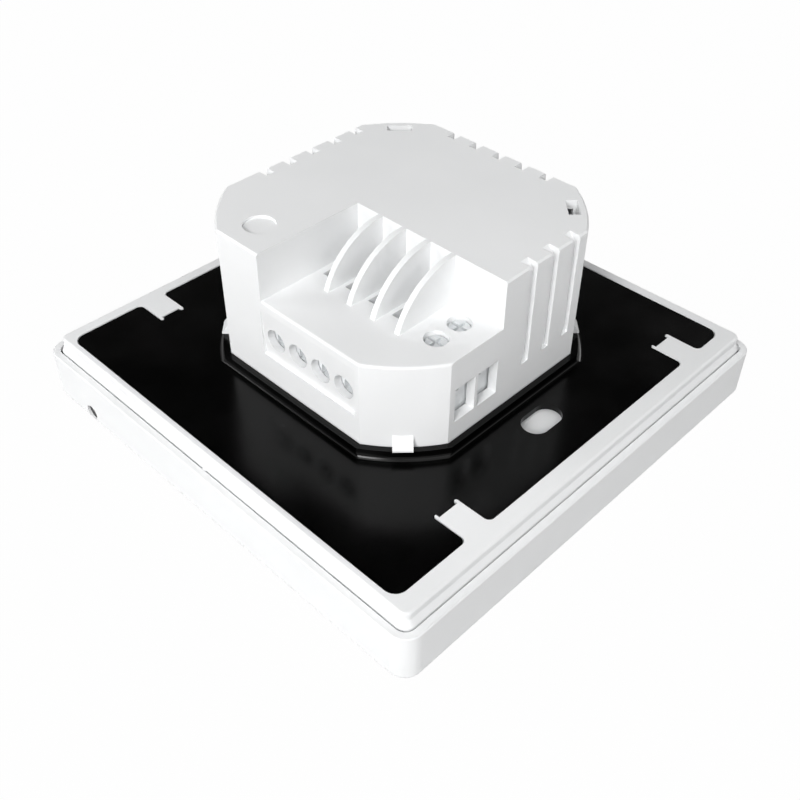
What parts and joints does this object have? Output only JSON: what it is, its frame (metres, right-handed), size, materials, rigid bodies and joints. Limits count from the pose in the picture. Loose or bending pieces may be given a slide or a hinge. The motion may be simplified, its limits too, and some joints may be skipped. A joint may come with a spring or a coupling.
{
  "type": "wall thermostat",
  "caption": "Square wall thermostat seen from its rear: white casing, black steel mounting plate and a deep power box with a terminal step, fins and vent slots.",
  "frame": {"origin": "centre of the front face, at the underside of the part as it lies on its front", "axes": "+Z out of the rear side, away from the front glass; +Y to the upper edge in use; +X to the side with the two sensor wire windows"},
  "size_m": [0.086, 0.086, 0.0371],
  "materials": {
    "white_shell": "fine satin moulding",
    "front_glass": "glossy, printed white behind, with a dark display window",
    "display": "glossy dark",
    "light_guide": "milky",
    "rubber_strip": "matt",
    "led_white": "small lamp bodies",
    "circuit_board": "green lacquer",
    "chip_black": "moulded",
    "radio_can": "tinned",
    "foam_pad": "conductive foam",
    "bead_black": "dipped bead",
    "header_black": "moulded, plated pins",
    "screw_steel": "zinc plated",
    "black_steel": "glossy black coating",
    "relay_blue": "moulded case",
    "ferrite": "dark grey ceramic",
    "winding_tape": "yellow tape over copper",
    "can_sleeve": "printed sleeve over aluminium",
    "film_yellow": "moulded case",
    "disc_blue": "dipped coating",
    "resistor_green": "lacquered",
    "terminal_plastic": "pale grey moulding",
    "contact_brass": "stamped strip",
    "terminal_steel": "nickel plated"
  },
  "bodies": {
    "front_unit": {"front_casing": "white_shell", "front_glass": "front_glass", "display_glass": "display", "backlight_guide": "light_guide", "contact_strip": "rubber_strip", "backlight_leds": "led_white", "display_board": "circuit_board", "control_chip": "chip_black", "radio_module": "radio_can", "touch_pads": "foam_pad", "air_sensor": "bead_black", "pin_header": "header_black", "board_screws": "screw_steel", "rear_cover": "white_shell", "cover_screws": "screw_steel"},
    "power_unit": {"steel_plate": "black_steel", "power_box": "white_shell", "box_lid": "white_shell", "lid_screws": "screw_steel", "power_board": "circuit_board", "pin_socket": "header_black", "relay": "relay_blue", "transformer_core": "ferrite", "transformer_winding": "winding_tape", "main_capacitor": "can_sleeve", "output_capacitor": "can_sleeve", "film_capacitor": "film_yellow", "surge_disc": "disc_blue", "fuse_resistor": "resistor_green", "choke": "ferrite", "power_chip": "chip_black", "opto_coupler": "chip_black", "rectifier": "chip_black", "mains_terminal_block": "terminal_plastic", "mains_contacts": "contact_brass", "sensor_terminal_block": "terminal_plastic", "sensor_contacts": "contact_brass"},
    "mains_screw_1": {"mains_screw_1": "terminal_steel"},
    "mains_clamp_1": {"mains_clamp_1": "terminal_steel"},
    "mains_screw_2": {"mains_screw_2": "terminal_steel"},
    "mains_clamp_2": {"mains_clamp_2": "terminal_steel"},
    "mains_screw_3": {"mains_screw_3": "terminal_steel"},
    "mains_clamp_3": {"mains_clamp_3": "terminal_steel"},
    "mains_screw_4": {"mains_screw_4": "terminal_steel"},
    "mains_clamp_4": {"mains_clamp_4": "terminal_steel"},
    "sensor_screw_1": {"sensor_screw_1": "terminal_steel"},
    "sensor_clamp_1": {"sensor_clamp_1": "terminal_steel"},
    "sensor_screw_2": {"sensor_screw_2": "terminal_steel"},
    "sensor_clamp_2": {"sensor_clamp_2": "terminal_steel"}
  },
  "joints": [
    {"name": "power_unit_slide", "type": "slide", "parent": "front_unit", "child": "power_unit", "axis": [0, 0, 1], "range_m": [0, 0.012]},
    {"name": "mains_screw_1_turn", "type": "hinge", "parent": "power_unit", "child": "mains_screw_1", "pos_m": [-0.00325, -0.0102, 0.0265], "axis": [0, 0, -1], "range_deg": [0, 1008.1]},
    {"name": "mains_clamp_1_rise", "type": "slide", "parent": "power_unit", "child": "mains_clamp_1", "axis": [0, 0, 1], "range_m": [0, 0.0014]},
    {"name": "mains_screw_2_turn", "type": "hinge", "parent": "power_unit", "child": "mains_screw_2", "pos_m": [0.00175, -0.0102, 0.0265], "axis": [0, 0, -1], "range_deg": [0, 1008.1]},
    {"name": "mains_clamp_2_rise", "type": "slide", "parent": "power_unit", "child": "mains_clamp_2", "axis": [0, 0, 1], "range_m": [0, 0.0014]},
    {"name": "mains_screw_3_turn", "type": "hinge", "parent": "power_unit", "child": "mains_screw_3", "pos_m": [0.00675, -0.0102, 0.0265], "axis": [0, 0, -1], "range_deg": [0, 1008.1]},
    {"name": "mains_clamp_3_rise", "type": "slide", "parent": "power_unit", "child": "mains_clamp_3", "axis": [0, 0, 1], "range_m": [0, 0.0014]},
    {"name": "mains_screw_4_turn", "type": "hinge", "parent": "power_unit", "child": "mains_screw_4", "pos_m": [0.01175, -0.0102, 0.0265], "axis": [0, 0, -1], "range_deg": [0, 1008.1]},
    {"name": "mains_clamp_4_rise", "type": "slide", "parent": "power_unit", "child": "mains_clamp_4", "axis": [0, 0, 1], "range_m": [0, 0.0014]},
    {"name": "sensor_screw_1_turn", "type": "hinge", "parent": "power_unit", "child": "sensor_screw_1", "pos_m": [0.01895, -0.01225, 0.0265], "axis": [0, 0, -1], "range_deg": [0, 1008.1]},
    {"name": "sensor_clamp_1_rise", "type": "slide", "parent": "power_unit", "child": "sensor_clamp_1", "axis": [0, 0, 1], "range_m": [0, 0.0014]},
    {"name": "sensor_screw_2_turn", "type": "hinge", "parent": "power_unit", "child": "sensor_screw_2", "pos_m": [0.01895, -0.00725, 0.0265], "axis": [0, 0, -1], "range_deg": [0, 1008.1]},
    {"name": "sensor_clamp_2_rise", "type": "slide", "parent": "power_unit", "child": "sensor_clamp_2", "axis": [0, 0, 1], "range_m": [0, 0.0014]}
  ],
  "couplings": [
    {"joint": "mains_screw_1_turn", "follows": "mains_clamp_1_rise", "rad_per_m": 12566},
    {"joint": "mains_screw_2_turn", "follows": "mains_clamp_2_rise", "rad_per_m": 12566},
    {"joint": "mains_screw_3_turn", "follows": "mains_clamp_3_rise", "rad_per_m": 12566},
    {"joint": "mains_screw_4_turn", "follows": "mains_clamp_4_rise", "rad_per_m": 12566},
    {"joint": "sensor_screw_1_turn", "follows": "sensor_clamp_1_rise", "rad_per_m": 12566},
    {"joint": "sensor_screw_2_turn", "follows": "sensor_clamp_2_rise", "rad_per_m": 12566}
  ]
}
